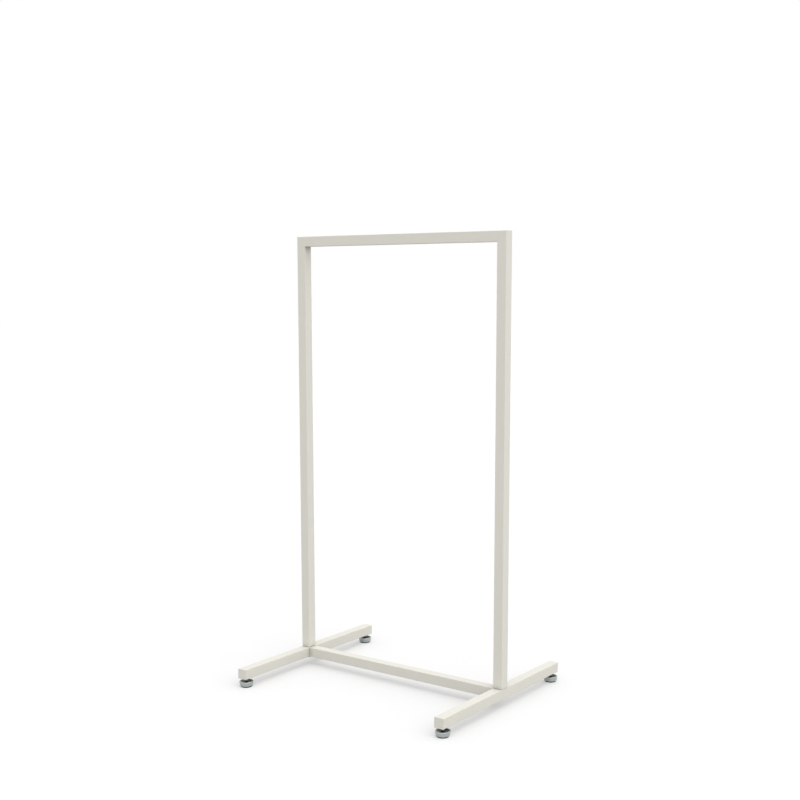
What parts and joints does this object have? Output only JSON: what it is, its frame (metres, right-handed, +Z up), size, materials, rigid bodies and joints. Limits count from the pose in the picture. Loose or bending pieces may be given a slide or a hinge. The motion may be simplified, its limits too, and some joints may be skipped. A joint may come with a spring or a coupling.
{
  "type": "partition wall",
  "caption": "Free-standing partition wall frame of white square steel tube: a tall open portal on cross foot bars with a low rail and swivel levelling feet.",
  "frame": {"origin": "on the floor, below the middle of the frame", "axes": "+Z up, +X to the right seen from the front, front is -Y"},
  "size_m": [1.017, 0.837, 1.8],
  "materials": {
    "powder_coat": "warm off-white powder coat, low sheen, very fine orange peel",
    "plated_steel": "bright zinc plating, turned",
    "bright_steel": "plain steel fasteners, satin",
    "black_rubber": "matt black rubber"
  },
  "bodies": {
    "frame": {"left_upright": "powder_coat", "right_upright": "powder_coat", "top_rail": "powder_coat", "bottom_rail": "powder_coat", "left_foot_bar": "powder_coat", "right_foot_bar": "powder_coat", "end_plate_front_left": "powder_coat", "end_plate_back_left": "powder_coat", "end_plate_front_right": "powder_coat", "end_plate_back_right": "powder_coat", "upright_plug_left": "bright_steel", "upright_plug_right": "bright_steel", "base_bolt_left": "bright_steel", "base_bolt_right": "bright_steel", "base_washer_left": "bright_steel", "base_washer_right": "bright_steel", "foot_insert_front_left": "plated_steel", "foot_insert_back_left": "plated_steel", "foot_insert_front_right": "plated_steel", "foot_insert_back_right": "plated_steel", "jam_nut_front_left": "plated_steel", "jam_nut_back_left": "plated_steel", "jam_nut_front_right": "plated_steel", "jam_nut_back_right": "plated_steel"},
    "foot_front_left": {"foot_pad_front_left": "plated_steel", "foot_sole_front_left": "black_rubber"},
    "stud_front_left": {"foot_stud_front_left": "plated_steel"},
    "foot_back_left": {"foot_pad_back_left": "plated_steel", "foot_sole_back_left": "black_rubber"},
    "stud_back_left": {"foot_stud_back_left": "plated_steel"},
    "foot_front_right": {"foot_pad_front_right": "plated_steel", "foot_sole_front_right": "black_rubber"},
    "stud_front_right": {"foot_stud_front_right": "plated_steel"},
    "foot_back_right": {"foot_pad_back_right": "plated_steel", "foot_sole_back_right": "black_rubber"},
    "stud_back_right": {"foot_stud_back_right": "plated_steel"}
  },
  "joints": [
    {"name": "foot_height_front_left", "type": "slide", "parent": "frame", "child": "foot_front_left", "axis": [0, 0, 1], "range_m": [-0.0105, 0.006]},
    {"name": "stud_turn_front_left", "type": "hinge", "parent": "foot_front_left", "child": "stud_front_left", "pos_m": [-0.48, -0.39, 0.02], "axis": [0, 0, 1], "range_deg": [-2520, 1440]},
    {"name": "foot_height_back_left", "type": "slide", "parent": "frame", "child": "foot_back_left", "axis": [0, 0, 1], "range_m": [-0.0105, 0.006]},
    {"name": "stud_turn_back_left", "type": "hinge", "parent": "foot_back_left", "child": "stud_back_left", "pos_m": [-0.48, 0.39, 0.02], "axis": [0, 0, 1], "range_deg": [-2520, 1440]},
    {"name": "foot_height_front_right", "type": "slide", "parent": "frame", "child": "foot_front_right", "axis": [0, 0, 1], "range_m": [-0.0105, 0.006]},
    {"name": "stud_turn_front_right", "type": "hinge", "parent": "foot_front_right", "child": "stud_front_right", "pos_m": [0.48, -0.39, 0.02], "axis": [0, 0, 1], "range_deg": [-2520, 1440]},
    {"name": "foot_height_back_right", "type": "slide", "parent": "frame", "child": "foot_back_right", "axis": [0, 0, 1], "range_m": [-0.0105, 0.006]},
    {"name": "stud_turn_back_right", "type": "hinge", "parent": "foot_back_right", "child": "stud_back_right", "pos_m": [0.48, 0.39, 0.02], "axis": [0, 0, 1], "range_deg": [-2520, 1440]}
  ],
  "couplings": [
    {"joint": "stud_turn_front_left", "follows": "foot_height_front_left", "rad_per_m": 4188.8},
    {"joint": "stud_turn_back_left", "follows": "foot_height_back_left", "rad_per_m": 4188.8},
    {"joint": "stud_turn_front_right", "follows": "foot_height_front_right", "rad_per_m": 4188.8},
    {"joint": "stud_turn_back_right", "follows": "foot_height_back_right", "rad_per_m": 4188.8}
  ]
}
